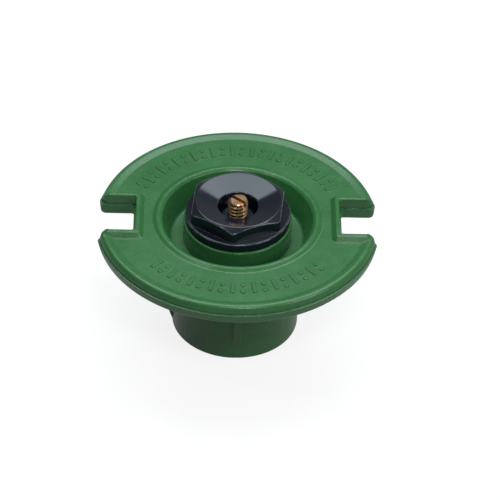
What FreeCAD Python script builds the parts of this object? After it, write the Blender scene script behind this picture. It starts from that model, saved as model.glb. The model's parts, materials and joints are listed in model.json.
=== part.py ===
import FreeCAD, Part

import math
import os

import Sketcher
from FreeCAD import Placement, Rotation, Vector

# A flush lawn sprinkler: a flanged plastic body with a female inlet thread, and a
# pop-up cartridge in it that carries an adjustable nozzle.
# All lengths are millimetres. The frame has +Z up, its origin at the centre of the
# inlet face, the two spanner notches on the X axis, and every height is measured
# up from the inlet face.
# OVERLAP is how far a joined feature starts inside its neighbour, CLEAR how far a
# cut runs past the piece, and SAME how close two edges are when they are taken as one.

SIZES = {
    # flange
    "field_z": 32.3,
    "flange_radius": 35.0,
    "flange_bottom_z": 28.1,
    "lower_edge_radius": 34.5,
    "lower_edge_round": 0.8,
    "parting_z": 30.6,
    "ledge_rise": 0.12,
    "upper_tier_radius": 34.55,
    "rim_foot_radius": 31.5,
    "rim_crest_radius": 33.4,
    "rim_crest_width": 1.0,
    "bead_height": 0.5,
    "rim_outer_drop": 1.1,
    "rim_round": 0.9,
    "underside_recess_depth": 2.0,
    "underside_inner_radius": 21.6,
    "underside_outer_radius": 32.4,
    # lip and trench around the nozzle
    "lip_outer_radius": 20.9,
    "lip_crest_radius": 19.55,
    "lip_crest_width": 0.7,
    "lip_height": 0.6,
    "lip_round": 0.45,
    "lip_foot_round": 0.5,
    "trench_top_radius": 18.5,
    "trench_floor_radius": 16.5,
    "trench_floor_z": 26.3,
    "trench_round": 0.9,
    "bowl_outer_radius": 20.2,
    "bowl_knee_radius": 18.6,
    "bowl_knee_z": 25.5,
    # spanner notches
    "notch_half_width": 6.1,
    "notch_end_x": 25.6,
    "notch_corner": 0.8,
    "notch_edge_round": 0.45,
    "notch_ledge": 0.45,
    "upper_mouth_x": 31.8,
    "lower_mouth_x": 32.35,
    "mouth_round": 1.8,
    "border_width": 2.4,
    "border_height": 1.3,
    "border_corner": 1.6,
    "border_slope": 40.0,
    "border_end_radius": 32.3,
    "skirt_end_x": 33.0,
    # inlet boss
    "boss_radius": 15.8,
    "boss_shoulder_z": 22.0,
    "boss_edge_round": 0.45,
    "gusset_thickness": 2.0,
    "side_gusset_turn": 4.0,
    "side_gusset_start_z": 0.9,
    "side_gusset_radius": 25.2,
    "front_gusset_turn": 92.0,
    "front_gusset_start_z": 5.5,
    "front_gusset_radius": 19.5,
    # raised marks on the flange field
    "mark_inner_radius": 24.7,
    "mark_outer_radius": 28.3,
    "mark_width": 0.9,
    "mark_height": 0.22,
    "pip_radius": 0.6,
    "pip_offset": 2.5,
    "back_marks_start": 28.0,
    "back_marks_span": 119.0,
    "back_marks_count": 12,
    "front_marks_start": -137.0,
    "front_marks_span": 89.0,
    "front_marks_count": 9,
    # inlet thread, 1/2-14 female
    "inlet_crest_radius": 9.2,
    "inlet_root_radius": 10.5,
    "inlet_pitch": 1.814,
    "inlet_thread_depth": 13.0,
    "inlet_stop_z": 15.0,
    "inlet_chamfer": 1.5,
    "inlet_groove_half": 0.78,
    "inlet_groove_tip_half": 0.11,
    "core_line_count": 6,
    "core_line_width": 0.3,
    "core_line_depth": 0.05,
    # cartridge bore of the body
    "bore_radius": 12.75,
    "snap_groove_radius": 13.15,
    "snap_z": 25.0,
    "snap_half_width": 0.5,
    "snap_groove_flat": 0.3,
    "snap_bead_flat": 0.2,
    # guide bushing
    "cartridge_clocking": -5.6,
    "collar_radius": 13.35,
    "collar_top_z": 32.0,
    "plug_radius": 12.7,
    "plug_bottom_z": 16.0,
    "snap_bead_radius": 13.05,
    "pocket_radius": 11.4,
    "pocket_top_z": 29.6,
    "collar_edge_round": 0.4,
    "sleeve_radius": 9.3,
    "sleeve_bottom_z": 27.8,
    "guide_radius": 8.06,
    "wiper_seat_radius": 9.8,
    "wiper_seat_z": 30.8,
    "key_count": 3,
    "key_width": 1.6,
    "key_crest_radius": 10.85,
    # bushing o-ring and wiper
    "o_ring_radius": 12.15,
    "o_ring_section": 0.48,
    "wiper_wall": 0.8,
    "wiper_groove_depth": 0.6,
    "wiper_grip": 0.08,
    "wiper_lip_height": 0.3,
    "running_gap": 0.05,
    # riser
    "tube_radius": 8.0,
    "tube_bore_radius": 6.0,
    "tube_top_z": 31.15,
    "foot_radius": 11.1,
    "foot_bottom_z": 15.3,
    "foot_top_z": 17.0,
    "riser_thread_z": 24.2,
    "riser_groove_half": 0.6,
    "riser_groove_tip_half": 0.22,
    "part_gap": 0.12,
    "lift_seal_height": 1.3,
    "lift_seal_radius": 9.9,
    "washer_round": 0.2,
    # nozzle outside
    "nozzle_flange_radius": 12.97,
    "nozzle_seat_z": 32.05,
    "nozzle_flange_top_z": 34.35,
    "nozzle_flange_round": 0.4,
    "nozzle_lower_round": 0.25,
    "hex_across_flats": 21.9,
    "hex_corner_round": 1.6,
    "hex_edge_round": 0.4,
    "nozzle_top_z": 38.15,
    "dish_radius": 10.5,
    "dish_bottom_z": 36.3,
    "orifice_radius": 5.04,
    "crown_slope": 0.5,
    # nozzle stem
    "stem_thread_pitch": 1.5,
    "stem_crest_radius": 6.85,
    "stem_root_radius": 6.3,
    "stem_thread_z": 26.5,
    "stem_thread_length": 4.0,
    "stem_thread_tip_half": 0.175,
    "stem_tip_radius": 5.9,
    "stem_tip_top_z": 24.4,
    "stem_bottom_z": 22.35,
    "stem_bore_radius": 4.7,
    "stem_bore_top_z": 29.8,
    "wing_groove_radius": 5.15,
    "hub_radius": 3.65,
    "hub_bottom_z": 31.0,
    "hub_top_z": 33.8,
    "hub_edge_round": 0.35,
    "hub_bore_radius": 1.95,
    "spoke_width": 1.6,
    "spoke_top_z": 33.2,
    # adjusting screw, #10-24
    "screw_crest_radius": 2.413,
    "screw_root_radius": 1.76,
    "screw_pitch": 1.0583,
    "screw_top_z": 38.2,
    "screw_thread_bottom_z": 28.2,
    "screw_thread_z": 28.75,
    "screw_chamfer": 0.35,
    "slot_width": 0.95,
    "slot_depth": 1.3,
    "slot_turn": -34.0,
    "pin_radius": 1.55,
    "pin_chamfer": 0.2,
    "pin_bottom_z": 24.6,
    "pin_groove_radius": 1.2,
    "pin_groove_z": 25.7,
    "pin_groove_half_width": 0.35,
    "thread_gap": 0.1,
    "plug_gap": 0.08,
    # throttle plug
    "throttle_radius": 3.9,
    "throttle_top_z": 28.0,
    "throttle_shoulder_z": 25.2,
    "throttle_bottom_z": 23.7,
    "wing_bottom_z": 26.6,
    "wing_width": 1.4,
    "wing_radius": 5.0,
    # filter screen
    "screen_rim_bottom_z": 21.2,
    "screen_spigot_top_z": 23.3,
    "screen_spigot_radius": 4.68,
    "screen_throat_radius": 4.1,
    "screen_rim_radius": 5.85,
    "screen_rim_top_z": 22.3,
    "screen_radius": 3.9,
    "screen_wall": 0.7,
    "screen_bottom_z": 15.9,
    "screen_floor": 0.6,
    "seat_z": 21.95,
    "screen_slot_count": 14,
    "screen_slot_width": 0.6,
    "screen_slot_bottom_z": 16.9,
    "screen_slot_top_z": 20.7,
    # retract spring
    "spring_radius": 10.4,
    "spring_wire_radius": 0.34,
    "spring_bottom_z": 17.03,
    "spring_top_z": 29.57,
    "spring_turns": 4.25,
}

THREAD_FLANK = math.radians(30)
OVERLAP = 0.3
CLEAR = 1.0
SAME = 0.02


class Size:
    """A length with both its value and the spreadsheet expression that drives it."""

    def __init__(self, value, text):
        self.value = value
        self.text = text

    def __add__(self, other):
        other = as_size(other)
        return Size(self.value + other.value, f"({self.text} + {other.text})")

    def __sub__(self, other):
        other = as_size(other)
        return Size(self.value - other.value, f"({self.text} - {other.text})")

    def __mul__(self, other):
        other = as_size(other)
        return Size(self.value * other.value, f"({self.text} * {other.text})")

    def __truediv__(self, other):
        other = as_size(other)
        return Size(self.value / other.value, f"({self.text} / {other.text})")

    def __neg__(self):
        return Size(-self.value, f"(0 - {self.text})")


def as_size(item):
    if isinstance(item, Size):
        return item
    return Size(float(item), f"{item}")


class Sheet:
    """The driving dimensions as attributes, each one a Size tied to its cell."""

    def __init__(self, doc, sizes):
        cells = doc.addObject("Spreadsheet::Sheet", "Sizes")
        for row, (alias, number) in enumerate(sizes.items(), start=1):
            cells.set(f"A{row}", alias.replace("_", " "))
            cells.set(f"B{row}", str(number))
            cells.setAlias(f"B{row}", alias)
            setattr(self, alias, Size(float(number), f"Sizes.{alias}"))


def bind(feature, name, size):
    """Drive one property of a feature from the sheet."""
    size = as_size(size)
    feature.setExpression(name, size.text)


# ---------------------------------------------------------------- sketches and features


def new_body(doc, label):
    body = doc.addObject("PartDesign::Body", label)
    body.Label = label
    return body


def origin_feature(body, role):
    return next(item for item in body.Origin.OriginFeatures if item.Role == role)


def new_sketch(body, name, plane="XZ_Plane", height=None, turn=None):
    """A sketch on an origin plane, lifted along its normal and turned about Z."""
    sketch = body.newObject("Sketcher::SketchObject", name)
    sketch.AttachmentSupport = [(origin_feature(body, plane), "")]
    sketch.MapMode = "FlatFace"
    if height is not None:
        bind(sketch, "AttachmentOffset.Base.z", height)
    if turn is not None:
        upward = Vector(0, 0, 1) if plane == "XY_Plane" else Vector(0, 1, 0)
        sketch.AttachmentOffset = Placement(Vector(), Rotation(upward, turn.value))
        bind(sketch, "AttachmentOffset.Rotation.Angle", turn)
    return sketch


def tie(sketch, axis, geometry, point, size):
    """Fix one coordinate of a point, measured from the sketch origin."""
    if abs(size.value) < 1e-9:
        on_axis = -2 if axis == "DistanceX" else -1
        sketch.addConstraint(Sketcher.Constraint("PointOnObject", geometry, point, on_axis))
        return
    if size.value > 0:
        ends = (-1, 1, geometry, point)
    else:
        ends = (geometry, point, -1, 1)
        size = -size
    number = sketch.addConstraint(Sketcher.Constraint(axis, *ends, size.value))
    bind(sketch, f"Constraints[{number}]", size)


def outline(sketch, corners):
    """A closed outline of straight sides, each corner tied to the sheet."""
    corners = [(as_size(x), as_size(y)) for x, y in corners]
    points = [Vector(x.value, y.value, 0) for x, y in corners]
    first = sketch.GeometryCount
    sides = [Part.LineSegment(a, b) for a, b in zip(points, points[1:] + points[:1])]
    sketch.addGeometry(sides, False)
    for index, (x, y) in enumerate(corners):
        following = (index + 1) % len(corners)
        sketch.addConstraint(
            Sketcher.Constraint("Coincident", first + index, 2, first + following, 1))
        tie(sketch, "DistanceX", first + index, 1, x)
        tie(sketch, "DistanceY", first + index, 1, y)


def circle(sketch, x, y, radius):
    """A full circle with its centre and radius tied to the sheet."""
    x, y = as_size(x), as_size(y)
    number = sketch.addGeometry(
        Part.Circle(Vector(x.value, y.value, 0), Vector(0, 0, 1), radius.value), False)
    tie(sketch, "DistanceX", number, 3, x)
    tie(sketch, "DistanceY", number, 3, y)
    constraint = sketch.addConstraint(Sketcher.Constraint("Radius", number, radius.value))
    bind(sketch, f"Constraints[{constraint}]", radius)


def rectangle(sketch, left, right, bottom, top):
    outline(sketch, [(left, bottom), (right, bottom), (right, top), (left, top)])


def tongue(sketch, left, right, half_width, corner):
    """A strip along X, square at its right end and round-cornered at its left end."""
    inner = left + corner
    shoulder = half_width - corner
    ends = [
        (inner, -half_width), (right, -half_width),
        (right, half_width), (inner, half_width),
        (left, shoulder), (left, -shoulder),
    ]
    points = [Vector(x.value, y.value, 0) for x, y in ends]
    centres = [Vector(inner.value, shoulder.value, 0), Vector(inner.value, -shoulder.value, 0)]
    upper = Part.Circle(centres[0], Vector(0, 0, 1), corner.value)
    lower = Part.Circle(centres[1], Vector(0, 0, 1), corner.value)
    sketch.addGeometry([
        Part.LineSegment(points[0], points[1]),
        Part.LineSegment(points[1], points[2]),
        Part.LineSegment(points[2], points[3]),
        Part.ArcOfCircle(upper, math.pi / 2, math.pi),
        Part.LineSegment(points[4], points[5]),
        Part.ArcOfCircle(lower, math.pi, 1.5 * math.pi),
    ], False)
    for side in range(6):
        following = (side + 1) % 6
        sketch.addConstraint(Sketcher.Constraint("Coincident", side, 2, following, 1))
    for side, point, (x, y) in [(0, 1, ends[0]), (1, 1, ends[1]), (2, 1, ends[2]),
                                (2, 2, ends[3]), (4, 1, ends[4]), (4, 2, ends[5])]:
        tie(sketch, "DistanceX", side, point, x)
        tie(sketch, "DistanceY", side, point, y)
    tie(sketch, "DistanceX", 3, 3, inner)
    tie(sketch, "DistanceX", 5, 3, inner)


def slot(sketch, left, mouth, right, half_width, corner, flare):
    """A slot along X, round-cornered at its left end and flared out from its mouth."""
    inner = left + corner
    shoulder = half_width - corner
    tip = mouth + flare
    wide = half_width + flare
    sides = [
        ((inner, -half_width), (mouth, -half_width)),
        ((tip, -wide), (right, -wide)),
        ((right, wide), (tip, wide)),
        ((mouth, half_width), (inner, half_width)),
        ((left, shoulder), (left, -shoulder)),
    ]
    quarter = math.pi / 2
    arcs = [
        (mouth, -wide, flare, 0),
        (mouth, wide, flare, 3 * quarter),
        (inner, shoulder, corner, quarter),
        (inner, -shoulder, corner, 2 * quarter),
    ]
    for start, end in sides:
        points = [Vector(x.value, y.value, 0) for x, y in (start, end)]
        sketch.addGeometry(Part.LineSegment(*points), False)
    for x, y, radius, turn in arcs:
        ring = Part.Circle(Vector(x.value, y.value, 0), Vector(0, 0, 1), radius.value)
        sketch.addGeometry(Part.ArcOfCircle(ring, turn, turn + quarter), False)
    sketch.addGeometry(Part.LineSegment(
        Vector(right.value, -wide.value, 0), Vector(right.value, wide.value, 0)), False)
    joins = [(0, 2, 5, 2), (5, 1, 1, 1), (1, 2, 9, 1), (9, 2, 2, 1), (2, 2, 6, 2),
             (6, 1, 3, 1), (3, 2, 7, 1), (7, 2, 4, 1), (4, 2, 8, 1), (8, 2, 0, 1)]
    for join in joins:
        sketch.addConstraint(Sketcher.Constraint("Coincident", *join))
    for side, ends in enumerate(sides):
        for point, (x, y) in enumerate(ends, start=1):
            tie(sketch, "DistanceX", side, point, x)
            tie(sketch, "DistanceY", side, point, y)
    for number, (x, y, radius, turn) in enumerate(arcs, start=len(sides)):
        tie(sketch, "DistanceX", number, 3, x)


def turned(body, name, corners, cut=False):
    """A full turn about Z of an outline given as (radius, height) corners."""
    sketch = new_sketch(body, f"{name}_outline")
    outline(sketch, corners)
    kind = "PartDesign::Groove" if cut else "PartDesign::Revolution"
    feature = body.newObject(kind, name)
    feature.Profile = sketch
    feature.ReferenceAxis = (sketch, ["V_Axis"])
    feature.Angle = 360
    return feature


def padded(body, name, sketch, length):
    feature = body.newObject("PartDesign::Pad", name)
    feature.Profile = sketch
    bind(feature, "Length", length)
    return feature


def pocketed(body, name, sketch, length, upward=True):
    """A cut from the sketch plane, up along its normal or down against it."""
    feature = body.newObject("PartDesign::Pocket", name)
    feature.Profile = sketch
    feature.Reversed = upward
    bind(feature, "Length", length)
    return feature


def around(body, name, features, count, span=360):
    """Repeat features about Z and make the pattern the body's tip."""
    pattern = body.newObject("PartDesign::PolarPattern", name)
    pattern.Originals = features
    pattern.Axis = (origin_feature(body, "Z_Axis"), [""])
    if isinstance(span, Size):
        bind(pattern, "Angle", span)
    else:
        pattern.Angle = span
    if isinstance(count, Size):
        bind(pattern, "Occurrences", count)
    else:
        pattern.Occurrences = count
    body.Tip = pattern
    return pattern


def threaded(body, name, corners, pitch, height, cut=False):
    """A right-hand helix of an outline given as (radius, height) corners."""
    sketch = new_sketch(body, f"{name}_profile")
    outline(sketch, corners)
    kind = "PartDesign::SubtractiveHelix" if cut else "PartDesign::AdditiveHelix"
    feature = body.newObject(kind, name)
    feature.Profile = sketch
    feature.ReferenceAxis = (sketch, ["V_Axis"])
    feature.Mode = 0
    bind(feature, "Pitch", pitch)
    bind(feature, "Height", height)
    return feature


def ridge(base_radius, crest_radius, base_half, crest_half, middle_z):
    """Cross-section of one thread ridge or groove, from its base to its crest."""
    return [
        (base_radius, middle_z - base_half),
        (crest_radius, middle_z - crest_half),
        (crest_radius, middle_z + crest_half),
        (base_radius, middle_z + base_half),
    ]


def circle_of(edge):
    """The circle an edge lies on, or None for any other curve."""
    try:
        curve = edge.Curve
    except TypeError:
        return None
    return curve if isinstance(curve, Part.Circle) else None


def circle_at_origin(edge):
    """The circle an edge lies on if it is centred on Z, or None."""
    ring = circle_of(edge)
    if ring is None or math.hypot(ring.Center.x, ring.Center.y) > SAME:
        return None
    return ring


def rings_at(shape, places):
    """Names of the circular edges about Z at the given (radius, height) places."""
    names = []
    for number, edge in enumerate(shape.Edges, start=1):
        ring = circle_at_origin(edge)
        if ring is None:
            continue
        for radius, height in places:
            close = abs(ring.Radius - radius.value) < SAME
            if close and abs(ring.Center.z - height.value) < SAME:
                names.append(f"Edge{number}")
    return names


def rounded(body, name, edge_names, radius):
    base = body.Tip
    feature = body.newObject("PartDesign::Fillet", name)
    feature.Base = (base, edge_names)
    bind(feature, "Radius", radius)
    return feature


def round_rings(doc, body, name, places, radius):
    """Fillet the circular edges at (radius, height) places of the body so far."""
    doc.recompute()
    places = [(as_size(r), as_size(z)) for r, z in places]
    return rounded(body, name, rings_at(body.Tip.Shape, places), radius)


def clock(body, angle):
    """Turn a finished body about Z."""
    body.Placement = Placement(Vector(), Rotation(Vector(0, 0, 1), angle.value))
    bind(body, "Placement.Rotation.Angle", angle)


# ---------------------------------------------------------------- sprinkler body


def body_outline(d):
    """Half section of the body, up the outside and down the inside."""
    rim_z = d.field_z + d.bead_height
    lip_z = d.field_z + d.lip_height
    rim_half = d.rim_crest_width / 2
    lip_half = d.lip_crest_width / 2
    recess_z = d.flange_bottom_z + d.underside_recess_depth
    snap_low = d.snap_z - d.snap_half_width
    snap_high = d.snap_z + d.snap_half_width
    flat_half = d.snap_groove_flat / 2
    return [
        (d.inlet_crest_radius + d.inlet_chamfer, 0),
        (d.boss_radius, 0),
        (d.boss_radius, d.boss_shoulder_z),
        (d.bowl_knee_radius, d.bowl_knee_z),
        (d.bowl_outer_radius, d.flange_bottom_z),
        (d.underside_inner_radius, recess_z),
        (d.underside_outer_radius, recess_z),
        (d.underside_outer_radius, d.flange_bottom_z),
        (d.lower_edge_radius, d.flange_bottom_z),
        (d.flange_radius, d.parting_z),
        (d.upper_tier_radius, d.parting_z + d.ledge_rise),
        (d.upper_tier_radius, rim_z - d.rim_outer_drop),
        (d.rim_crest_radius + rim_half, rim_z),
        (d.rim_crest_radius - rim_half, rim_z),
        (d.rim_foot_radius, d.field_z),
        (d.lip_outer_radius, d.field_z),
        (d.lip_crest_radius + lip_half, lip_z),
        (d.lip_crest_radius - lip_half, lip_z),
        (d.trench_top_radius, d.field_z),
        (d.trench_floor_radius, d.trench_floor_z),
        (d.bore_radius, d.trench_floor_z),
        (d.bore_radius, snap_high),
        (d.snap_groove_radius, d.snap_z + flat_half),
        (d.snap_groove_radius, d.snap_z - flat_half),
        (d.bore_radius, snap_low),
        (d.bore_radius, d.inlet_stop_z),
        (d.inlet_crest_radius, d.inlet_stop_z),
        (d.inlet_crest_radius, d.inlet_chamfer),
    ]


def soften_body(doc, body, d):
    """Round the beads, the trench and the moulded outer edges."""
    rim_z = d.field_z + d.bead_height
    lip_z = d.field_z + d.lip_height
    rim_half = d.rim_crest_width / 2
    lip_half = d.lip_crest_width / 2
    round_rings(doc, body, "rim_crest_round", [
        (d.rim_crest_radius + rim_half, rim_z),
        (d.upper_tier_radius, rim_z - d.rim_outer_drop),
    ], d.rim_round)
    doc.recompute()
    rounded(body, "notch_edge_round", notch_edges(body.Tip.Shape, d), d.notch_edge_round)
    round_rings(doc, body, "lip_crest_round", [
        (d.lip_crest_radius + lip_half, lip_z),
        (d.lip_crest_radius - lip_half, lip_z),
        (d.trench_top_radius, d.field_z),
    ], d.lip_round)
    round_rings(doc, body, "lip_foot_round", [
        (d.lip_outer_radius, d.field_z)], d.lip_foot_round)
    round_rings(doc, body, "trench_corner_round", [
        (d.trench_floor_radius, d.trench_floor_z)], d.trench_round)
    round_rings(doc, body, "lower_edge_round", [
        (d.lower_edge_radius, d.flange_bottom_z)], d.lower_edge_round)
    round_rings(doc, body, "boss_edge_round", [(d.boss_radius, 0)], d.boss_edge_round)


def add_gussets(body, d, name, turn, start_z, top_radius):
    """Two opposite gussets from the boss wall out to the underside of the flange."""
    sketch = new_sketch(body, f"{name}_gusset_outline", turn=turn)
    roof_z = d.flange_bottom_z + d.underside_recess_depth + OVERLAP
    root = d.boss_radius - CLEAR
    outline(sketch, [
        (root, start_z),
        (d.boss_radius, start_z),
        (top_radius, roof_z),
        (d.bowl_outer_radius - CLEAR, roof_z),
        (d.bowl_knee_radius - CLEAR, d.bowl_knee_z),
        (root, d.boss_shoulder_z),
    ])
    gusset = padded(body, f"{name}_gusset", sketch, d.gusset_thickness)
    gusset.Midplane = True
    around(body, f"{name}_gussets", [gusset], 2)


def add_notches(body, d):
    """Two spanner notches, each with a raised border above and a skirt below."""
    upper_half = d.notch_half_width + d.notch_ledge
    upper_end_x = d.notch_end_x - d.notch_ledge
    outside_x = d.flange_radius + CLEAR
    border_half = upper_half + d.border_width
    border_x = upper_end_x - d.border_width
    border_sketch = new_sketch(body, "notch_border_outline", "XY_Plane", d.field_z - OVERLAP)
    tongue(border_sketch, border_x, outside_x, border_half, d.border_corner)
    border = padded(body, "notch_border", border_sketch, d.border_height + OVERLAP)
    bind(border, "TaperAngle", -d.border_slope)
    around(body, "notch_borders", [border], 2)
    trim_borders(body, d)
    skirt_sketch = new_sketch(body, "notch_skirt_outline", "XY_Plane", d.flange_bottom_z)
    tongue(skirt_sketch, border_x, d.skirt_end_x, border_half, d.border_corner)
    skirt = padded(body, "notch_skirt", skirt_sketch, d.underside_recess_depth + OVERLAP)
    around(body, "notch_skirts", [skirt], 2)
    upper_sketch = new_sketch(body, "notch_upper_outline", "XY_Plane", d.parting_z)
    slot(upper_sketch, upper_end_x, d.upper_mouth_x, outside_x, upper_half,
         d.notch_corner, d.mouth_round)
    upper = pocketed(body, "notch_upper", upper_sketch,
                     d.field_z + d.border_height + CLEAR - d.parting_z)
    around(body, "notch_uppers", [upper], 2)
    lower_sketch = new_sketch(body, "notch_lower_outline", "XY_Plane",
                              d.flange_bottom_z - CLEAR)
    slot(lower_sketch, d.notch_end_x, d.lower_mouth_x, outside_x, d.notch_half_width,
         d.notch_corner, d.mouth_round)
    lower = pocketed(body, "notch_lower", lower_sketch,
                     d.parting_z - d.flange_bottom_z + CLEAR * 2)
    around(body, "notch_lowers", [lower], 2)


def notch_edges(shape, d):
    """Edges round the top of the notches, all at the height of the border's crest."""
    crest_z = (d.field_z + d.border_height).value
    names = []
    for number, edge in enumerate(shape.Edges, start=1):
        box = edge.BoundBox
        level = abs(box.ZMin - crest_z) < SAME and abs(box.ZMax - crest_z) < SAME
        if level and circle_at_origin(edge) is None:
            names.append(f"Edge{number}")
    return names


def trim_borders(body, d):
    """Slope the outer ends of the notch borders down on to the rim."""
    rim_z = d.field_z + d.bead_height
    border_z = d.field_z + d.border_height
    crest_edge = d.rim_crest_radius + d.rim_crest_width / 2
    outside = d.flange_radius + d.notch_end_x
    turned(body, "border_trim", [
        (d.border_end_radius, border_z),
        (crest_edge, rim_z),
        (d.upper_tier_radius, rim_z - d.rim_outer_drop),
        (outside, rim_z - d.rim_outer_drop),
        (outside, border_z + CLEAR),
        (d.border_end_radius, border_z + CLEAR),
    ], cut=True)


def add_inlet_thread(body, d):
    """The 1/2-14 thread, with the fine lines a collapsing core leaves down its crests."""
    line_sketch = new_sketch(body, "core_line_outline", "XY_Plane", 0)
    line_half = d.core_line_width / 2
    rectangle(line_sketch, d.inlet_crest_radius - CLEAR,
              d.inlet_crest_radius + d.core_line_depth, -line_half, line_half)
    line = pocketed(body, "core_line", line_sketch, d.inlet_stop_z + CLEAR)
    around(body, "core_lines", [line], d.core_line_count)
    groove = ridge(d.inlet_crest_radius - OVERLAP / 2, d.inlet_root_radius,
                   d.inlet_groove_half, d.inlet_groove_tip_half, -d.inlet_pitch)
    threaded(body, "inlet_thread", groove, d.inlet_pitch,
             d.inlet_thread_depth + d.inlet_pitch, cut=True)


def add_marks(body, d, name, start, span, count):
    """An arc of raised bars, each with a pair of pips beside it, on the flange field."""
    sketch = new_sketch(body, f"{name}_mark_outline", "XY_Plane", d.field_z - OVERLAP, start)
    rectangle(sketch, d.mark_inner_radius, d.mark_outer_radius,
              -(d.mark_width / 2), d.mark_width / 2)
    circle(sketch, d.mark_inner_radius + d.pip_radius, d.pip_offset, d.pip_radius)
    circle(sketch, d.mark_outer_radius - d.pip_radius, d.pip_offset, d.pip_radius)
    mark = padded(body, f"{name}_mark", sketch, d.mark_height + OVERLAP)
    around(body, f"{name}_marks", [mark], count, span)


def make_body(doc, d):
    body = new_body(doc, "sprinkler_body")
    turned(body, "body_shell", body_outline(d))
    add_notches(body, d)
    soften_body(doc, body, d)
    add_gussets(body, d, "side", d.side_gusset_turn, d.side_gusset_start_z,
                d.side_gusset_radius)
    add_gussets(body, d, "front", d.front_gusset_turn, d.front_gusset_start_z,
                d.front_gusset_radius)
    add_inlet_thread(body, d)
    add_marks(body, d, "back", d.back_marks_start, d.back_marks_span, d.back_marks_count)
    add_marks(body, d, "front", d.front_marks_start, d.front_marks_span, d.front_marks_count)
    return body


# ---------------------------------------------------------------- guide bushing and seals


def make_guide_bushing(doc, d):
    """The green sleeve that guides the riser; its collar stands up round the nozzle."""
    body = new_body(doc, "guide_bushing")
    snap_low = d.snap_z - d.snap_half_width
    snap_high = d.snap_z + d.snap_half_width
    flat_half = d.snap_bead_flat / 2
    turned(body, "bushing_shell", [
        (d.pocket_radius, d.plug_bottom_z),
        (d.plug_radius, d.plug_bottom_z),
        (d.plug_radius, snap_low),
        (d.snap_bead_radius, d.snap_z - flat_half),
        (d.snap_bead_radius, d.snap_z + flat_half),
        (d.plug_radius, snap_high),
        (d.plug_radius, d.trench_floor_z),
        (d.collar_radius, d.trench_floor_z),
        (d.collar_radius, d.collar_top_z),
        (d.wiper_seat_radius, d.collar_top_z),
        (d.wiper_seat_radius, d.wiper_seat_z),
        (d.guide_radius, d.wiper_seat_z),
        (d.guide_radius, d.sleeve_bottom_z),
        (d.sleeve_radius, d.sleeve_bottom_z),
        (d.sleeve_radius, d.pocket_top_z),
        (d.pocket_radius, d.pocket_top_z),
    ])
    round_rings(doc, body, "collar_edge_round", [
        (d.collar_radius, d.collar_top_z)], d.collar_edge_round)
    key_sketch = new_sketch(body, "key_outline", "XY_Plane", d.plug_bottom_z)
    rectangle(key_sketch, d.key_crest_radius, d.pocket_radius + OVERLAP,
              -(d.key_width / 2), d.key_width / 2)
    key = padded(body, "key", key_sketch, d.pocket_top_z - d.plug_bottom_z + OVERLAP)
    around(body, "keys", [key], d.key_count)
    clock(body, d.cartridge_clocking)
    return body


def make_bushing_o_ring(doc, d):
    ring = doc.addObject("Part::Torus", "bushing_o_ring")
    ring.Label = "bushing_o_ring"
    bind(ring, "Radius1", d.o_ring_radius)
    bind(ring, "Radius2", d.o_ring_section)
    bind(ring, "Placement.Base.z", (d.inlet_stop_z + d.plug_bottom_z) / 2)
    return ring


def make_wiper_seal(doc, d):
    """A rubber ring whose inner lip wipes the riser."""
    body = new_body(doc, "wiper_seal")
    wall = d.wiper_seat_radius - d.running_gap
    groove = wall - d.wiper_wall
    lip = d.tube_radius + d.wiper_grip
    top_z = d.collar_top_z - d.running_gap * 2
    turned(body, "wiper_ring", [
        (wall, d.wiper_seat_z),
        (wall, top_z),
        (groove, top_z),
        (groove - d.wiper_grip * 2, top_z - d.wiper_groove_depth),
        (lip + d.wiper_lip_height, top_z),
        (lip, top_z),
        (lip, top_z - d.wiper_lip_height),
        (lip + d.wiper_wall / 2, d.wiper_seat_z),
    ])
    return body


def make_ring(doc, label, inner, outer, bottom, top, rounding):
    """A flat rubber washer."""
    body = new_body(doc, label)
    turned(body, f"{label}_ring", [
        (inner, bottom), (outer, bottom), (outer, top), (inner, top)])
    round_rings(doc, body, f"{label}_round", [(outer, bottom), (outer, top)], rounding)
    return body


def make_retract_spring(doc, d):
    """The coil spring between the riser foot and the top of the bushing pocket."""
    body = new_body(doc, "retract_spring")
    sketch = new_sketch(body, "wire_outline")
    circle(sketch, d.spring_radius, d.spring_bottom_z + d.spring_wire_radius,
           d.spring_wire_radius)
    coil = body.newObject("PartDesign::AdditiveHelix", "coil")
    coil.Profile = sketch
    coil.ReferenceAxis = (sketch, ["V_Axis"])
    coil.Mode = 0
    rise = d.spring_top_z - d.spring_bottom_z - d.spring_wire_radius * 2
    bind(coil, "Pitch", rise / d.spring_turns)
    bind(coil, "Height", rise)
    return body


# ---------------------------------------------------------------- riser


def make_riser(doc, d):
    """The sliding tube: a keyed foot below and a female thread for the nozzle on top."""
    body = new_body(doc, "riser")
    thread_bore = d.stem_root_radius + d.part_gap
    turned(body, "riser_tube", [
        (d.tube_bore_radius, d.foot_bottom_z),
        (d.foot_radius, d.foot_bottom_z),
        (d.foot_radius, d.foot_top_z),
        (d.tube_radius, d.foot_top_z),
        (d.tube_radius, d.tube_top_z),
        (thread_bore, d.tube_top_z),
        (thread_bore, d.riser_thread_z),
        (d.tube_bore_radius, d.riser_thread_z),
    ])
    keyway_sketch = new_sketch(body, "keyway_outline", "XY_Plane", d.foot_bottom_z - CLEAR)
    keyway_half = d.key_width / 2 + d.part_gap
    rectangle(keyway_sketch, d.key_crest_radius - d.part_gap, d.foot_radius + CLEAR,
              -keyway_half, keyway_half)
    keyway = pocketed(body, "keyway", keyway_sketch,
                      d.foot_top_z - d.foot_bottom_z + CLEAR * 2)
    around(body, "keyways", [keyway], d.key_count)
    groove = ridge(d.stem_root_radius, d.stem_crest_radius + d.part_gap,
                   d.riser_groove_half, d.riser_groove_tip_half,
                   d.stem_thread_z - d.stem_thread_pitch)
    threaded(body, "riser_thread", groove, d.stem_thread_pitch,
             d.tube_top_z - d.stem_thread_z + d.stem_thread_pitch * 2, cut=True)
    clock(body, d.cartridge_clocking)
    return body


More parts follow.
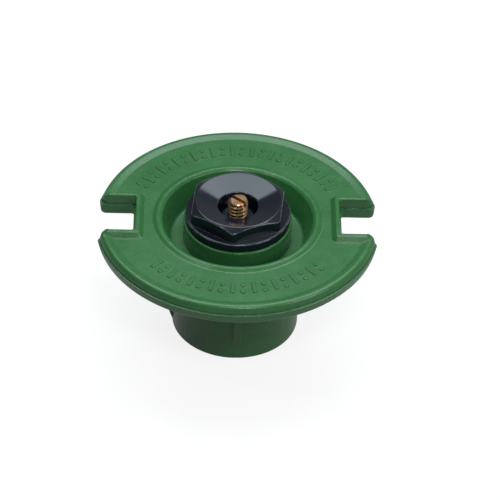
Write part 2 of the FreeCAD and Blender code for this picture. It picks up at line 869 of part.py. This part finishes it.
# ---------------------------------------------------------------- nozzle


def hexagon(sketch, across_flats):
    """A hexagon about the origin with one corner on the -Y side."""
    corner = across_flats / math.sqrt(3)
    half = corner / 2
    flat = across_flats / 2
    outline(sketch, [
        (0, -corner), (flat, -half), (flat, half), (0, corner), (-flat, half), (-flat, -half)])


def add_nozzle_head(doc, body, d):
    """Stem, round flange and dished hexagon with a crowned top."""
    stem_taper = d.stem_root_radius - d.stem_tip_radius
    bore_taper = d.orifice_radius - d.stem_bore_radius
    turned(body, "stem_and_flange", [
        (d.stem_bore_radius, d.stem_bottom_z),
        (d.stem_tip_radius, d.stem_bottom_z),
        (d.stem_tip_radius, d.stem_tip_top_z),
        (d.stem_root_radius, d.stem_tip_top_z + stem_taper),
        (d.stem_root_radius, d.nozzle_seat_z),
        (d.nozzle_flange_radius, d.nozzle_seat_z),
        (d.nozzle_flange_radius, d.nozzle_flange_top_z),
        (d.orifice_radius, d.nozzle_flange_top_z),
        (d.orifice_radius, d.stem_bore_top_z + bore_taper),
        (d.stem_bore_radius, d.stem_bore_top_z),
    ])
    hex_bottom_z = d.nozzle_flange_top_z - OVERLAP
    hex_sketch = new_sketch(body, "hex_outline", "XY_Plane", hex_bottom_z)
    hexagon(hex_sketch, d.hex_across_flats)
    circle(hex_sketch, 0, 0, d.orifice_radius)
    padded(body, "hex", hex_sketch, d.nozzle_top_z - hex_bottom_z)
    doc.recompute()
    rounded(body, "hex_corner_round", hex_corner_edges(body.Tip.Shape, d), d.hex_corner_round)
    cut_crown(body, d)
    doc.recompute()
    rounded(body, "hex_edge_round", crown_edges(body.Tip.Shape, d), d.hex_edge_round)
    round_rings(doc, body, "nozzle_flange_round", [
        (d.nozzle_flange_radius, d.nozzle_flange_top_z)], d.nozzle_flange_round)
    round_rings(doc, body, "nozzle_lower_round", [
        (d.nozzle_flange_radius, d.nozzle_seat_z),
        (d.orifice_radius, d.dish_bottom_z)], d.nozzle_lower_round)


def cut_crown(body, d):
    """Shape the hexagon's top: a dish down to the orifice, and a slope outside its rim."""
    dish_slope = (d.nozzle_top_z - d.dish_bottom_z) / (d.dish_radius - d.orifice_radius)
    inner = d.orifice_radius - CLEAR
    outer = d.nozzle_flange_radius + CLEAR
    turned(body, "crown", [
        (inner, d.dish_bottom_z - dish_slope * CLEAR),
        (d.dish_radius, d.nozzle_top_z),
        (outer, d.nozzle_top_z - d.crown_slope * (outer - d.dish_radius)),
        (outer, d.nozzle_top_z + CLEAR),
        (inner, d.nozzle_top_z + CLEAR),
    ], cut=True)


def hex_corner_edges(shape, d):
    """The upright edges at the corners of the hexagon."""
    names = []
    for number, edge in enumerate(shape.Edges, start=1):
        box = edge.BoundBox
        upright = box.XLength < SAME and box.YLength < SAME
        at_corner = math.hypot(box.Center.x, box.Center.y) > d.hex_across_flats.value / 2
        above_flange = box.ZMax > d.nozzle_top_z.value - SAME
        if upright and at_corner and above_flange:
            names.append(f"Edge{number}")
    return names


def crown_edges(shape, d):
    """Edges round the top of the hexagon: its outline and the rim of the dish."""
    lowest = d.nozzle_flange_top_z.value + CLEAR
    nearest = d.dish_radius.value - SAME
    names = []
    for number, edge in enumerate(shape.Edges, start=1):
        middle = edge.valueAt((edge.FirstParameter + edge.LastParameter) / 2)
        if edge.BoundBox.ZMin > lowest and math.hypot(middle.x, middle.y) > nearest:
            names.append(f"Edge{number}")
    return names


def add_nozzle_hub(doc, body, d):
    """A threaded hub on three spokes in the middle of the bore."""
    spoke_sketch = new_sketch(body, "spoke_outline", "XY_Plane", d.hub_bottom_z)
    rectangle(spoke_sketch, d.hub_radius - CLEAR, d.orifice_radius + OVERLAP,
              -(d.spoke_width / 2), d.spoke_width / 2)
    spoke = padded(body, "spoke", spoke_sketch, d.spoke_top_z - d.hub_bottom_z)
    around(body, "spokes", [spoke], 3)
    hub_sketch = new_sketch(body, "hub_outline", "XY_Plane", d.hub_bottom_z)
    circle(hub_sketch, 0, 0, d.hub_radius)
    circle(hub_sketch, 0, 0, d.hub_bore_radius)
    padded(body, "hub", hub_sketch, d.hub_top_z - d.hub_bottom_z)
    round_rings(doc, body, "hub_edge_round", [(d.hub_radius, d.hub_top_z)], d.hub_edge_round)


def screw_ridge(d, gap, base_radius, middle_z):
    """Ridge of the screw thread, grown on its crest and flanks by a gap."""
    slope = math.tan(THREAD_FLANK)
    flank_gap = gap / math.cos(THREAD_FLANK)
    crest_half = d.screw_pitch / 16
    crest_radius = d.screw_crest_radius + gap
    base_half = crest_half + (d.screw_crest_radius - base_radius) * slope + flank_gap
    tip_half = crest_half - gap * slope + flank_gap
    return ridge(base_radius, crest_radius, base_half, tip_half, middle_z)


def make_nozzle(doc, d):
    body = new_body(doc, "nozzle")
    add_nozzle_head(doc, body, d)
    add_nozzle_hub(doc, body, d)
    groove_bottom_z = d.stem_bottom_z - CLEAR
    groove_sketch = new_sketch(body, "wing_groove_outline", "XY_Plane", groove_bottom_z)
    groove_half = d.wing_width / 2 + d.part_gap
    rectangle(groove_sketch, d.stem_bore_radius - CLEAR, d.wing_groove_radius,
              -groove_half, groove_half)
    groove_top_z = d.stem_bore_top_z + (d.orifice_radius - d.stem_bore_radius)
    groove = pocketed(body, "wing_groove", groove_sketch, groove_top_z - groove_bottom_z)
    around(body, "wing_grooves", [groove], 3)
    base = d.stem_root_radius - d.part_gap
    tip_half = d.stem_thread_tip_half
    base_half = (d.stem_crest_radius - base) * math.tan(THREAD_FLANK) + tip_half
    stem_ridge = ridge(base, d.stem_crest_radius, base_half, tip_half, d.stem_thread_z)
    threaded(body, "stem_thread", stem_ridge, d.stem_thread_pitch, d.stem_thread_length)
    start_z = d.screw_thread_z + d.screw_pitch
    hub_groove = screw_ridge(d, d.thread_gap, d.hub_bore_radius - d.running_gap, start_z)
    threaded(body, "hub_thread", hub_groove, d.screw_pitch,
             d.hub_top_z - start_z + d.screw_pitch, cut=True)
    clock(body, d.cartridge_clocking)
    return body


# ---------------------------------------------------------------- screw and throttle


def make_adjusting_screw(doc, d):
    """Slotted headless screw with a plain grooved pin for the throttle plug."""
    body = new_body(doc, "adjusting_screw")
    groove_low = d.pin_groove_z - d.pin_groove_half_width
    groove_high = d.pin_groove_z + d.pin_groove_half_width
    turned(body, "screw_core", [
        (0, d.pin_bottom_z),
        (d.pin_radius - d.pin_chamfer, d.pin_bottom_z),
        (d.pin_radius, d.pin_bottom_z + d.pin_chamfer),
        (d.pin_radius, groove_low),
        (d.pin_groove_radius, groove_low),
        (d.pin_groove_radius, groove_high),
        (d.pin_radius, groove_high),
        (d.pin_radius, d.screw_thread_bottom_z),
        (d.screw_root_radius, d.screw_thread_bottom_z),
        (d.screw_root_radius, d.screw_top_z),
        (0, d.screw_top_z),
    ])
    profile = screw_ridge(d, 0, d.screw_root_radius - d.running_gap, d.screw_thread_z)
    threaded(body, "screw_thread", profile, d.screw_pitch,
             d.screw_top_z - d.screw_thread_z + d.screw_pitch)
    chamfer = d.screw_chamfer
    outside = d.screw_crest_radius + CLEAR
    above_z = d.screw_top_z + d.screw_pitch * 2
    turned(body, "tip_trim", [
        (0, d.screw_top_z),
        (d.screw_crest_radius - chamfer, d.screw_top_z),
        (outside, d.screw_top_z - chamfer - CLEAR),
        (outside, above_z),
        (0, above_z),
    ], cut=True)
    slot_sketch = new_sketch(body, "slot_outline", "XY_Plane", d.screw_top_z, d.slot_turn)
    rectangle(slot_sketch, -outside, outside, -(d.slot_width / 2), d.slot_width / 2)
    pocketed(body, "slot", slot_sketch, d.slot_depth, upward=False)
    clock(body, d.cartridge_clocking)
    return body


def make_throttle_plug(doc, d):
    """The plug that snaps on the screw's pin and slides, keyed, in the nozzle stem."""
    body = new_body(doc, "throttle_plug")
    hole = d.pin_radius + d.plug_gap
    bead = d.pin_groove_radius + d.plug_gap
    bead_half = d.pin_groove_half_width - d.plug_gap
    hole_bottom_z = d.pin_bottom_z - d.plug_gap
    nose_radius = d.throttle_radius - (d.throttle_shoulder_z - d.throttle_bottom_z)
    turned(body, "plug_shell", [
        (0, d.throttle_bottom_z),
        (nose_radius, d.throttle_bottom_z),
        (d.throttle_radius, d.throttle_shoulder_z),
        (d.throttle_radius, d.throttle_top_z),
        (hole, d.throttle_top_z),
        (hole, d.pin_groove_z + bead_half),
        (bead, d.pin_groove_z + bead_half),
        (bead, d.pin_groove_z - bead_half),
        (hole, d.pin_groove_z - bead_half),
        (hole, hole_bottom_z),
        (0, hole_bottom_z),
    ])
    wing_sketch = new_sketch(body, "wing_outline", "XY_Plane", d.wing_bottom_z)
    rectangle(wing_sketch, d.throttle_radius - OVERLAP, d.wing_radius,
              -(d.wing_width / 2), d.wing_width / 2)
    wing = padded(body, "wing", wing_sketch, d.throttle_top_z - d.wing_bottom_z)
    around(body, "wings", [wing], 3)
    clock(body, d.cartridge_clocking)
    return body


def make_filter_screen(doc, d):
    """A slotted basket in the riser; its rim is also the seat of the throttle plug."""
    body = new_body(doc, "filter_screen")
    inner = d.screen_radius - d.screen_wall
    seat_top_z = d.seat_z + (d.screen_throat_radius - d.throttle_radius)
    seat_bottom_z = d.seat_z - (d.throttle_radius - inner)
    floor_z = d.screen_bottom_z + d.screen_floor
    turned(body, "basket", [
        (0, d.screen_bottom_z),
        (d.screen_radius, d.screen_bottom_z),
        (d.screen_radius, d.screen_rim_bottom_z),
        (d.screen_rim_radius, d.screen_rim_bottom_z),
        (d.screen_rim_radius, d.screen_rim_top_z),
        (d.screen_spigot_radius, d.screen_rim_top_z),
        (d.screen_spigot_radius, d.screen_spigot_top_z),
        (d.screen_throat_radius, d.screen_spigot_top_z),
        (d.screen_throat_radius, seat_top_z),
        (inner, seat_bottom_z),
        (inner, floor_z),
        (0, floor_z),
    ])
    slot_sketch = new_sketch(body, "screen_slot_outline", "XY_Plane", d.screen_slot_bottom_z)
    rectangle(slot_sketch, inner - CLEAR, d.screen_radius + CLEAR,
              -(d.screen_slot_width / 2), d.screen_slot_width / 2)
    slot = pocketed(body, "screen_slot", slot_sketch,
                    d.screen_slot_top_z - d.screen_slot_bottom_z)
    around(body, "screen_slots", [slot], d.screen_slot_count)
    clock(body, d.cartridge_clocking)
    return body


# ---------------------------------------------------------------- write the parts


def check(doc):
    """Stop on any feature that failed to rebuild."""
    for item in doc.Objects:
        if "Invalid" in item.State or "Error" in item.State:
            raise RuntimeError(f"{item.Label} failed: {item.State} {item.getStatusString()}")


def write_parts(doc, pieces):
    check(doc)
    for piece in pieces:
        if piece.Shape.isNull() or not piece.Shape.isValid():
            raise RuntimeError(f"{piece.Label} has no valid shape")
    os.makedirs("parts", exist_ok=True)
    for piece in pieces:
        piece.Shape.exportStep(f"parts/{piece.Label}.step")


def main():
    doc = FreeCAD.newDocument("sprinkler")
    d = Sheet(doc, SIZES)
    doc.recompute()
    pieces = [
        make_body(doc, d),
        make_guide_bushing(doc, d),
        make_bushing_o_ring(doc, d),
        make_wiper_seal(doc, d),
        make_retract_spring(doc, d),
        make_riser(doc, d),
        make_ring(doc, "lift_seal", d.tube_radius + d.part_gap, d.lift_seal_radius,
                  d.foot_top_z, d.foot_top_z + d.lift_seal_height, d.washer_round),
        make_ring(doc, "nozzle_gasket", d.stem_crest_radius + d.part_gap,
                  d.tube_radius - d.part_gap, d.tube_top_z, d.nozzle_seat_z,
                  d.washer_round),
        make_nozzle(doc, d),
        make_adjusting_screw(doc, d),
        make_throttle_plug(doc, d),
        make_filter_screen(doc, d),
    ]
    doc.recompute()
    write_parts(doc, pieces)


main()
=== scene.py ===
"""Looks for the pop-up lawn sprinkler: materials, the coil spring, studio and camera.

Everything is in metres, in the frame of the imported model: +Z up, the origin at the
centre of the inlet face, the two spanner notches on the X axis.
"""

import json
import math

import bmesh
import bpy
from mathutils import Matrix, Vector


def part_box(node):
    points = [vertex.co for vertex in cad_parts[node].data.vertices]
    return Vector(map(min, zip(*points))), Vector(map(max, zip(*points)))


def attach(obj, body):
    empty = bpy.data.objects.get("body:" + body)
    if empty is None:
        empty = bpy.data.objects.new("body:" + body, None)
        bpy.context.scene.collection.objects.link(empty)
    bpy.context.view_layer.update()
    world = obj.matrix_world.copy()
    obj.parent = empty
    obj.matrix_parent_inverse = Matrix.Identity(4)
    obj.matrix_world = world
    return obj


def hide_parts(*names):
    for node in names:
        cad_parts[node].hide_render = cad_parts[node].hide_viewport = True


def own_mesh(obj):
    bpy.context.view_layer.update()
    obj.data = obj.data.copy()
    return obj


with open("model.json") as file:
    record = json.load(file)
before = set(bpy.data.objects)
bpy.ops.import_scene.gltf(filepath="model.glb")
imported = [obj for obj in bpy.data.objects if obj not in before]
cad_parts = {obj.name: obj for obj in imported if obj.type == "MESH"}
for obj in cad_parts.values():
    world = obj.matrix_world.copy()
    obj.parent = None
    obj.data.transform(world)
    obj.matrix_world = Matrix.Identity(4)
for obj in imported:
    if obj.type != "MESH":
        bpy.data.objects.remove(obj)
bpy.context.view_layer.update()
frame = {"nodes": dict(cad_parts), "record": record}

MM = 0.001
FLANGE_FIELD_Z = 32.3 * MM
SPRING_WIRE_RADIUS = 0.34 * MM
SPRING_TURNS = 6.25

# sockets of Blender's Mix node when it mixes colours
MIX_FACTOR, MIX_LOW, MIX_HIGH = 0, 6, 7
MIX_RESULT = 2


# ---------------------------------------------------------------- node helpers


class Shader:
    """A material's node tree, with short calls to add and join nodes."""

    def __init__(self, name):
        self.material = bpy.data.materials.new(name)
        self.material.use_nodes = True
        self.tree = self.material.node_tree
        self.surface = self.tree.nodes["Principled BSDF"]
        self.place = self.add("ShaderNodeTexCoord").outputs["Object"]

    def add(self, kind, **settings):
        node = self.tree.nodes.new(kind)
        for name, value in settings.items():
            setattr(node, name, value)
        return node

    def join(self, source, target):
        self.tree.links.new(source, target)

    def noise(self, scale, detail=3.0, roughness=0.5, stretch=(1, 1, 1)):
        """A noise value; scale is in lumps per metre."""
        mapping = self.add("ShaderNodeMapping")
        mapping.inputs["Scale"].default_value = stretch
        self.join(self.place, mapping.inputs["Vector"])
        texture = self.add("ShaderNodeTexNoise")
        texture.inputs["Scale"].default_value = scale
        texture.inputs["Detail"].default_value = detail
        texture.inputs["Roughness"].default_value = roughness
        self.join(mapping.outputs["Vector"], texture.inputs["Vector"])
        return texture.outputs["Fac"]

    def span(self, value, from_low, from_high, to_low, to_high):
        """Map one range of a value on to another, clamped."""
        node = self.add("ShaderNodeMapRange")
        self.join(value, node.inputs["Value"])
        node.inputs["From Min"].default_value = from_low
        node.inputs["From Max"].default_value = from_high
        node.inputs["To Min"].default_value = to_low
        node.inputs["To Max"].default_value = to_high
        return node.outputs["Result"]

    def blend(self, factor, low, high):
        """Mix two colours, each a colour or a socket."""
        node = self.add("ShaderNodeMix", data_type="RGBA")
        self.set_or_join(factor, node.inputs[MIX_FACTOR])
        self.set_or_join(low, node.inputs[MIX_LOW])
        self.set_or_join(high, node.inputs[MIX_HIGH])
        return node.outputs[MIX_RESULT]

    def math(self, operation, first, second):
        node = self.add("ShaderNodeMath", operation=operation)
        self.set_or_join(first, node.inputs[0])
        self.set_or_join(second, node.inputs[1])
        return node.outputs[0]

    def set_or_join(self, value, target):
        if isinstance(value, bpy.types.NodeSocket):
            self.join(value, target)
        elif isinstance(value, (tuple, list)):
            target.default_value = (*value, 1.0)
        else:
            target.default_value = value

    def crevice(self, distance):
        """1 in the open and 0 deep in a corner."""
        node = self.add("ShaderNodeAmbientOcclusion", samples=8)
        node.inputs["Distance"].default_value = distance
        return node.outputs["AO"]

    def tilt(self, low, high, fade=0.15):
        """1 where the normal's height is between two values, as on a rounded edge."""
        normal = self.add("ShaderNodeNewGeometry").outputs["Normal"]
        split = self.add("ShaderNodeSeparateXYZ")
        self.join(normal, split.inputs["Vector"])
        above = self.span(split.outputs["Z"], low, low + fade, 0, 1)
        below = self.span(split.outputs["Z"], high - fade, high, 1, 0)
        return self.math("MULTIPLY", above, below)

    def relief(self, heights, edge_radius):
        """Bump from (height socket, depth in metres) pairs over softened edges."""
        normal = None
        if edge_radius:
            bevel = self.add("ShaderNodeBevel", samples=6)
            bevel.inputs["Radius"].default_value = edge_radius
            normal = bevel.outputs["Normal"]
        for height, depth in heights:
            bump = self.add("ShaderNodeBump")
            bump.inputs["Strength"].default_value = 1.0
            bump.inputs["Distance"].default_value = depth
            self.join(height, bump.inputs["Height"])
            if normal is not None:
                self.join(normal, bump.inputs["Normal"])
            normal = bump.outputs["Normal"]
        self.join(normal, self.surface.inputs["Normal"])

    def finish(self, colour, roughness, metallic=0.0, specular=0.5):
        """Set the surface's main inputs, each a value or a socket."""
        self.set_or_join(colour, self.surface.inputs["Base Color"])
        self.set_or_join(roughness, self.surface.inputs["Roughness"])
        self.set_or_join(metallic, self.surface.inputs["Metallic"])
        self.set_or_join(specular, self.surface.inputs["Specular IOR Level"])
        return self.material


# ---------------------------------------------------------------- materials


def green_abs():
    """Satin moulded ABS with faint flow mottling, a fine spark-eroded texture and painted shade
    darkening its crevices and corners.
    """
    s = Shader("green_abs")
    flow = s.noise(90, detail=4, stretch=(1, 1, 2.5))
    fine = s.noise(2600, detail=2)
    scuffs = s.noise(420, detail=6, roughness=0.65)
    base = s.blend(s.span(flow, 0.3, 0.7, 0, 1), (0.027, 0.143, 0.038), (0.038, 0.167, 0.050))
    scuffs_and_painted_edge_highlight = s.blend(s.span(scuffs, 0.60, 0.78, 0, 0.25), base, (0.10, 0.25, 0.13))
    # painted shade: a darker green blended in by ambient occlusion in crevices, corners and the
    # trench
    with_painted_shade = s.blend(s.span(s.crevice(0.006), 0.05, 0.6, 0, 1), (0.018, 0.100, 0.032), scuffs_and_painted_edge_highlight)
    s.relief([(fine, 0.000012), (flow, 0.00006)], 0.0003)
    return s.finish(with_painted_shade, s.span(scuffs, 0.35, 0.75, 0.23, 0.34))


def black_acetal():
    """Glossy blue-black acetal with faint rub marks, dust and a patchy painted highlight on its
    tilted rounded edges.
    """
    s = Shader("black_acetal")
    swirl = s.noise(160, detail=5)
    specks = s.noise(3800, detail=1)
    base = s.blend(s.span(swirl, 0.35, 0.7, 0, 1),
                   (0.0060, 0.0085, 0.0150), (0.0100, 0.0130, 0.0200))
    dusty = s.blend(s.span(specks, 0.72, 0.8, 0, 0.35), base, (0.10, 0.11, 0.12))
    patches = s.span(s.noise(900, detail=4), 0.35, 0.60, 0.05, 0.7)
    # painted highlight: a lighter grey where the normal tilts between level and upright, as on
    # the rounded hex edges, broken into patches
    scuffs_and_painted_edge_highlight = s.blend(s.math("MULTIPLY", s.tilt(0.2, 0.84), patches), dusty, (0.17, 0.19, 0.21))
    s.relief([(swirl, 0.00002), (specks, 0.000004)], 0.00025)
    s.surface.inputs["Specular Tint"].default_value = (0.93, 1.0, 1.06, 1)
    return s.finish(scuffs_and_painted_edge_highlight, s.span(swirl, 0.3, 0.75, 0.10, 0.18), specular=0.56)


def riser_acetal():
    """Satin black acetal, rubbed along its length by the wiper."""
    s = Shader("riser_acetal")
    rub = s.noise(900, detail=4, stretch=(1, 1, 0.05))
    base = s.blend(s.span(rub, 0.4, 0.7, 0, 1), (0.010, 0.011, 0.013), (0.022, 0.023, 0.026))
    s.relief([(rub, 0.00002)], 0.00012)
    return s.finish(base, s.span(rub, 0.3, 0.7, 0.28, 0.45))


def brass():
    """Machined brass, bright on its crests and brown in the thread roots."""
    s = Shader("brass")
    stain = s.noise(700, detail=5)
    turning = s.noise(300, detail=3, stretch=(1, 1, 30))
    bright = s.blend(s.span(stain, 0.3, 0.75, 0, 1), (0.62, 0.42, 0.23), (0.36, 0.19, 0.095))
    aged = s.blend(s.span(s.crevice(0.0008), 0.25, 0.85, 0, 1), (0.11, 0.045, 0.022), bright)
    s.relief([(turning, 0.000015)], 0.00006)
    return s.finish(aged, s.span(stain, 0.3, 0.7, 0.2, 0.38), metallic=1.0)


def seal_rubber():
    """Dull black rubber with a fine bloom."""
    s = Shader("seal_rubber")
    bloom = s.noise(1200, detail=4)
    base = s.blend(s.span(bloom, 0.4, 0.75, 0, 1), (0.012, 0.012, 0.012), (0.035, 0.035, 0.034))
    s.relief([(bloom, 0.00003)], 0.00008)
    return s.finish(base, s.span(bloom, 0.3, 0.7, 0.55, 0.8), specular=0.35)


def spring_steel():
    """Drawn stainless wire with streaks along the coil."""
    s = Shader("spring_steel")
    streak = s.noise(1500, detail=3, stretch=(1, 1, 8))
    base = s.blend(s.span(streak, 0.3, 0.7, 0, 1), (0.42, 0.42, 0.43), (0.60, 0.60, 0.60))
    s.relief([(streak, 0.00001)], 0)
    return s.finish(base, s.span(streak, 0.3, 0.7, 0.22, 0.36), metallic=1.0)


def pale_plastic(name, low, high):
    """Natural unpigmented moulding, slightly waxy."""
    s = Shader(name)
    cloud = s.noise(500, detail=4)
    base = s.blend(s.span(cloud, 0.3, 0.7, 0, 1), low, high)
    s.relief([(cloud, 0.00002)], 0.0001)
    s.surface.inputs["Subsurface Weight"].default_value = 0.2
    s.surface.inputs["Subsurface Radius"].default_value = (0.001, 0.001, 0.0008)
    return s.finish(base, s.span(cloud, 0.3, 0.7, 0.35, 0.5))


def dress(nodes, materials):
    """Give every CAD node the material of its slot."""
    for part in frame["record"]["subparts"]:
        mesh = nodes[part["node"]].data
        mesh.materials.clear()
        mesh.materials.append(materials[part["material_slot"]])


# ---------------------------------------------------------------- coil spring


def spring_path(low, high, radius, turns, wire):
    """Centre line of a spring with one closed turn at each end."""
    closed_rise = wire * 2
    steps = 48
    total = int(turns * steps)
    points = []
    for step in range(total + 1):
        turn = step / steps
        if turn < 1:
            height = closed_rise * turn
        elif turn > turns - 1:
            height = (high - low) - closed_rise * (turns - turn)
        else:
            share = (turn - 1) / (turns - 2)
            height = closed_rise + share * (high - low - 2 * closed_rise)
        angle = turn * 2 * math.pi
        points.append(Vector((radius * math.cos(angle), radius * math.sin(angle), low + height)))
    return points


def sweep(name, points, radius, sides=14):
    """A closed tube of circular section along a path about the Z axis."""
    mesh = bmesh.new()
    rings = []
    for index, point in enumerate(points):
        ahead = points[min(index + 1, len(points) - 1)]
        behind = points[max(index - 1, 0)]
        along = (ahead - behind).normalized()
        outward = Vector((point.x, point.y, 0)).normalized()
        outward = (outward - along * outward.dot(along)).normalized()
        across = along.cross(outward)
        ring = []
        for side in range(sides):
            angle = side * 2 * math.pi / sides
            offset = outward * math.cos(angle) + across * math.sin(angle)
            ring.append(mesh.verts.new(point + offset * radius))
        rings.append(ring)
    for first, second in zip(rings, rings[1:]):
        for side in range(sides):
            following = (side + 1) % sides
            mesh.faces.new((first[side], first[following], second[following], second[side]))
    mesh.faces.new(list(reversed(rings[0])))
    mesh.faces.new(rings[-1])
    bmesh.ops.recalc_face_normals(mesh, faces=mesh.faces)
    data = bpy.data.meshes.new(name)
    mesh.to_mesh(data)
    mesh.free()
    data.shade_smooth()
    piece = bpy.data.objects.new(name, data)
    bpy.context.scene.collection.objects.link(piece)
    return piece


def make_spring(material):
    """The retract spring with closed ends, in the space of its plain CAD coil."""
    low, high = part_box("retract_spring")
    wire = SPRING_WIRE_RADIUS
    path = spring_path(low.z + wire, high.z - wire, high.x - wire, SPRING_TURNS, wire)
    spring = sweep("spring_coil", path, wire)
    spring.data.materials.append(material)
    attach(spring, "housing")
    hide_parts("retract_spring")
    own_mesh(spring)


# ---------------------------------------------------------------- studio


def make_floor():
    """White paper that shows brighter to the camera than the light it gives back."""
    shown_to_camera = 0.84
    shown_in_gloss = 0.35
    bpy.ops.mesh.primitive_plane_add(size=6, location=(0, 0, -0.00002))
    floor = bpy.context.object
    floor.name = "floor"
    s = Shader("floor_paper")
    grain = s.noise(60, detail=4)
    s.relief([(grain, 0.00002)], 0)
    ray = s.add("ShaderNodeLightPath").outputs
    paper = s.blend(s.span(grain, 0.3, 0.7, 0, 1), (0.19, 0.19, 0.19), (0.21, 0.21, 0.21))
    glow = s.math("ADD", s.math("MULTIPLY", ray["Is Camera Ray"], shown_to_camera),
                  s.math("MULTIPLY", ray["Is Glossy Ray"], shown_in_gloss))
    s.surface.inputs["Emission Color"].default_value = (1, 1, 1, 1)
    s.join(glow, s.surface.inputs["Emission Strength"])
    floor.data.materials.append(s.finish(paper, 0.9, specular=0.1))


def add_softbox(name, place, target, width, height, radiance, colour=(1, 1, 1)):
    """A rectangular lamp aimed at a target, as bright as its radiance says."""
    lamp = bpy.data.lights.new(name, "AREA")
    lamp.shape = "RECTANGLE"
    lamp.size = width
    lamp.size_y = height
    lamp.energy = radiance * math.pi * width * height
    lamp.color = colour
    box = bpy.data.objects.new(name, lamp)
    box.location = place
    aim = Vector(target) - Vector(place)
    box.rotation_euler = aim.to_track_quat("-Z", "Y").to_euler()
    bpy.context.scene.collection.objects.link(box)


def make_light():
    """A wide softbox behind and above, three small lamps and a dim room."""
    target = Vector((0, 0, FLANGE_FIELD_Z))
    rise = 0.66
    near = 0.04 * rise
    far = 0.86 * rise
    overhead = target + Vector((0, (near + far) / 2, rise))
    straight_down = overhead - Vector((0, 0, rise))
    add_softbox("overhead_softbox", overhead, straight_down, 1.2 * rise, far - near, 3.5,
                (0.90, 0.965, 1.02))
    add_softbox("right_softbox", (0.55, -0.35, 0.50), target, 0.30, 0.30, 4.5)
    add_softbox("left_lamp", (-0.30, -0.17, 0.64), target, 0.09, 0.09, 14.0)
    add_softbox("front_lamp", (0.05, -0.40, 0.56), target, 0.12, 0.12, 22.0)
    make_room(0.05, 0.34)
    bpy.context.scene.view_settings.view_transform = "Standard"


def make_room(left_strength, right_strength):
    """A grey room whose walls are darker on the left than on the right."""
    world = bpy.data.worlds.new("studio")
    world.use_nodes = True
    tree = world.node_tree
    sky = tree.nodes["Background"]
    sky.inputs["Color"].default_value = (0.95, 0.97, 1.0, 1)
    place = tree.nodes.new("ShaderNodeTexCoord")
    split = tree.nodes.new("ShaderNodeSeparateXYZ")
    fade = tree.nodes.new("ShaderNodeMapRange")
    fade.inputs["From Min"].default_value = -1.0
    fade.inputs["To Min"].default_value = left_strength
    fade.inputs["To Max"].default_value = right_strength
    tree.links.new(place.outputs["Generated"], split.inputs["Vector"])
    tree.links.new(split.outputs["X"], fade.inputs["Value"])
    tree.links.new(fade.outputs["Result"], sky.inputs["Strength"])
    bpy.context.scene.world = world


def make_camera():
    """A long lens high in front of the flange, tipped a little to one side."""
    elevation = math.radians(39.3)
    azimuth = math.radians(-1.1)
    roll = math.radians(1.8)
    distance = 0.718
    shift_right = 3.03 * MM
    shift_down = 7.88 * MM
    centre = Vector((0, 0, FLANGE_FIELD_Z))
    back = Vector((
        math.sin(azimuth) * math.cos(elevation),
        -math.cos(azimuth) * math.cos(elevation),
        math.sin(elevation),
    ))
    level_right = Vector((math.cos(azimuth), math.sin(azimuth), 0))
    level_up = back.cross(level_right)
    right = level_right * math.cos(roll) + level_up * math.sin(roll)
    up = level_up * math.cos(roll) - level_right * math.sin(roll)
    place = centre + back * distance
    aim = centre + right * shift_right - up * shift_down
    back = (place - aim).normalized()
    right = up.cross(back).normalized()
    up = back.cross(right)
    camera = bpy.data.objects.new("camera", bpy.data.cameras.new("camera"))
    camera.data.sensor_width = 36
    camera.data.lens = 210.3
    camera.data.clip_start = 0.01
    camera.matrix_world = Matrix((
        (right.x, up.x, back.x, place.x),
        (right.y, up.y, back.y, place.y),
        (right.z, up.z, back.z, place.z),
        (0, 0, 0, 1),
    ))
    bpy.context.scene.collection.objects.link(camera)
    bpy.context.scene.camera = camera


# ---------------------------------------------------------------- build


materials = {
    "green_abs": green_abs(),
    "black_acetal": black_acetal(),
    "riser_acetal": riser_acetal(),
    "brass": brass(),
    "seal_rubber": seal_rubber(),
    "spring_steel": spring_steel(),
    "screen_plastic": pale_plastic("screen_plastic", (0.58, 0.58, 0.54), (0.68, 0.68, 0.64)),
    "plug_acetal": pale_plastic("plug_acetal", (0.66, 0.65, 0.60), (0.74, 0.73, 0.69)),
}
dress(frame["nodes"], materials)
make_spring(materials["spring_steel"])
make_floor()
make_light()
make_camera()
